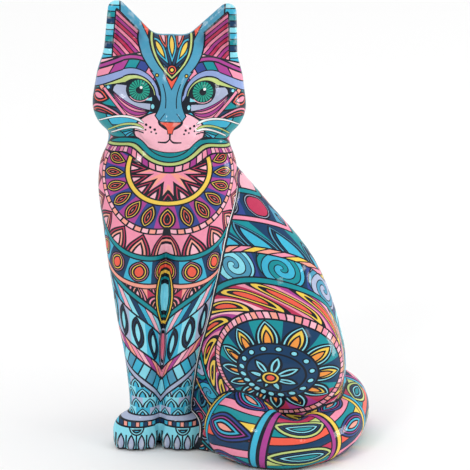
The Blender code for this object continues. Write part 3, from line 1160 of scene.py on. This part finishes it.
def readPlaces(tree):
    found = {}
    names = {
        "headPlace": ("hx", "hy", "hz"),
        "headRound": ("ax", "az", "earEdge"),
        "bodyRound": ("s", "z", "earDepth"),
        "legRound": ("lx", "ly", "b"),
        "tailRound": ("ta", "tr", "tailSide"),
        "partSides": ("foreSide", "headSide", "height"),
    }
    for name, keys in names.items():
        node = tree.nodes.new("ShaderNodeAttribute")
        node.attribute_name = name
        split = tree.nodes.new("ShaderNodeSeparateXYZ")
        tree.links.new(node.outputs["Vector"], split.inputs[0])
        for key, socket in zip(keys, split.outputs):
            found[key] = Wire(socket)
    return found


def makeGroup(name, paint):
    tree = bpy.data.node_groups.new(name, "ShaderNodeTree")
    tree.interface.new_socket("Colour", in_out="OUTPUT", socket_type="NodeSocketColor")
    colour = paint(readPlaces(tree))
    end = tree.nodes.new("NodeGroupOutput")
    tree.links.new(colour.socket, end.inputs[0])
    print(f"{name}: {len(tree.nodes)} nodes")
    return tree


def useGroup(tree, name, paint):
    node = tree.nodes.new("ShaderNodeGroup")
    node.node_tree = makeGroup(name, paint)
    return Wire(node.outputs[0])


def noise(tree, scale, detail):
    node = tree.nodes.new("ShaderNodeTexNoise")
    node.inputs["Scale"].default_value = scale
    node.inputs["Detail"].default_value = detail
    place = tree.nodes.new("ShaderNodeTexCoord")
    tree.links.new(place.outputs["Object"], node.inputs["Vector"])
    return Wire(node.outputs[0])


def tinted(tree, colour):
    clouds = noise(tree, glaze["cloudScale"], 3.0) * glaze["cloudSpread"]
    grain = noise(tree, glaze["grainScale"], 2.0) * glaze["grainSpread"]
    node = tree.nodes.new("ShaderNodeHueSaturation")
    fill(node.inputs["Value"], clouds + grain + glaze["faintest"])
    fill(node.inputs["Color"], colour)
    return Wire(node.outputs[0])


def makeGlaze():
    material = bpy.data.materials.new("printedGlaze")
    material.use_nodes = True
    tree = material.node_tree
    c = readPlaces(tree)
    colour = useGroup(tree, "trunkPaint", paintTrunk)
    colour = mix(below(c["foreSide"], 0.0), colour, useGroup(tree, "forePaint", paintFore))
    colour = line(colour, c["foreSide"], 0.4)
    colour = line(colour, c["foreSide"] + 0.25 + below(114.0, c["height"]) * away, 1.0)
    # painted highlight: a thin white line along the crease between the forelegs and the body,
    # standing for gloss caught on the crease edge, between the dark outlines
    rim = below(mag(c["foreSide"] + 0.7), 0.26) * below(mag(c["height"] - 60.0), 54.0)
    colour = mix(rim, colour, tint["white"])
    colour = mix(below(c["headSide"], 0.0), colour, useGroup(tree, "headPaint", paintHead))
    colour = line(colour, c["headSide"], 0.45)
    colour = mix(below(c["tailSide"], 0.0), colour, useGroup(tree, "tailPaint", paintTail))
    colour = line(colour, c["tailSide"], 0.8)
    colour = mix(below(c["z"], 1.0), colour, tint["ink"])
    # sharp convex edges whiten, broken up by speckled noise: partly worn print, partly a painted
    # sheen standing for gloss along the ridges
    ridge = Wire(tree.nodes.new("ShaderNodeNewGeometry").outputs["Pointiness"])
    wearAndSheenMask = least(most((ridge - glaze["wearAndSheenFrom"]) * glaze["wearAndSheenGain"], 0.0), glaze["wearAndSheenMost"])
    specks = (noise(tree, glaze["speckScale"], 3.0) - glaze["speckFrom"]) * glaze["speckGain"]
    wearAndSheenMask = wearAndSheenMask * least(most(specks, 0.0), 1.0)
    colour = mix(wearAndSheenMask, colour, tint["white"])
    shader = tree.nodes["Principled BSDF"]
    tree.links.new(tinted(tree, colour).socket, shader.inputs["Base Color"])
    uneven = noise(tree, glaze["rippleScale"], 2.0)
    bump = tree.nodes.new("ShaderNodeBump")
    bump.inputs["Strength"].default_value = glaze["ripple"]
    bump.inputs["Distance"].default_value = glaze["rippleDepth"]
    tree.links.new(uneven.socket, bump.inputs["Height"])
    tree.links.new(bump.outputs[0], shader.inputs["Normal"])
    tree.links.new(bump.outputs[0], shader.inputs["Coat Normal"])
    dull = noise(tree, glaze["roughnessScale"], 3.0) * glaze["roughnessSpread"] + glaze["roughness"]
    fill(shader.inputs["Roughness"], dull - glaze["roughnessSpread"] / 2)
    shader.inputs["Specular IOR Level"].default_value = 0.0
    shader.inputs["Coat Weight"].default_value = glaze["coat"]
    shader.inputs["Coat Roughness"].default_value = glaze["coatRoughness"]
    return material


cat.data.materials.append(makeGlaze())
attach(cat, "root")
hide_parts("cat")
print("glaze made")


# studio

studio = {
    "floorColour": (0.97, 0.97, 0.97, 1),
    "viewElevation": 17.0,
    "frameWidth": 470 * 0.42,  # mm of the cat's plane that the picture covers
    "frameMiddle": (2.52, 87.46),  # mm to the right and up from the origin's image
    "cameraDistance": 1.5,
    "floorHalf": 3.0,
    "floorRoughness": 0.9,
    "aim": (0, 0, 0.09),  # where the lights point, in metres
    "lights": {  # place in metres, size in metres, power in watts
        "key": ((-0.5, -0.9, 0.9), 0.24, 2.6),
        "fill": ((0.9, -0.7, 0.6), 0.2, 0.9),
        "side": ((0.9, 0.2, 0.14), 0.28, 3.0),
        "ceiling": ((0, 0.2, 1.8), 2.5, 14),
    },
    "skyStrength": 0.68,
}


def makeFloor():
    mesh = bpy.data.meshes.new("floor")
    half = studio["floorHalf"]
    corners = [(-half, -half, 0), (half, -half, 0), (half, half, 0), (-half, half, 0)]
    mesh.from_pydata(corners, [], [(0, 1, 2, 3)])
    floor = bpy.data.objects.new("floor", mesh)
    paper = bpy.data.materials.new("whitePaper")
    paper.use_nodes = True
    shader = paper.node_tree.nodes["Principled BSDF"]
    shader.inputs["Base Color"].default_value = studio["floorColour"]
    shader.inputs["Roughness"].default_value = studio["floorRoughness"]
    mesh.materials.append(paper)
    bpy.context.scene.collection.objects.link(floor)


def makeLight(name, place, size, energy):
    light = bpy.data.lights.new(name, "AREA")
    light.size = size
    light.energy = energy
    lamp = bpy.data.objects.new(name, light)
    lamp.location = place
    beam = Vector(studio["aim"]) - lamp.location
    lamp.rotation_euler = beam.to_track_quat("-Z", "Y").to_euler()
    bpy.context.scene.collection.objects.link(lamp)


def makeCamera():
    camera = bpy.data.objects.new("camera", bpy.data.cameras.new("camera"))
    camera.data.type = "ORTHO"
    camera.data.ortho_scale = studio["frameWidth"] * mm
    tilt = radians(studio["viewElevation"])
    back = Vector((0, -np.cos(tilt), np.sin(tilt)))
    up = Vector((0, np.sin(tilt), np.cos(tilt)))
    right, rise = studio["frameMiddle"]
    middle = Vector((right * mm, 0, 0)) + up * (rise * mm)
    camera.location = middle + back * studio["cameraDistance"]
    camera.rotation_euler = (-back).to_track_quat("-Z", "Y").to_euler()
    bpy.context.scene.collection.objects.link(camera)
    bpy.context.scene.camera = camera


def makeWorld():
    world = bpy.data.worlds.new("studio")
    world.use_nodes = True
    sky = world.node_tree.nodes["Background"]
    sky.inputs["Color"].default_value = (1, 1, 1, 1)
    sky.inputs["Strength"].default_value = studio["skyStrength"]
    bpy.context.scene.world = world


makeFloor()
for name, (place, size, energy) in studio["lights"].items():
    makeLight(name, place, size, energy)
makeCamera()
makeWorld()
bpy.context.scene.view_settings.view_transform = "Standard"
print("studio set")
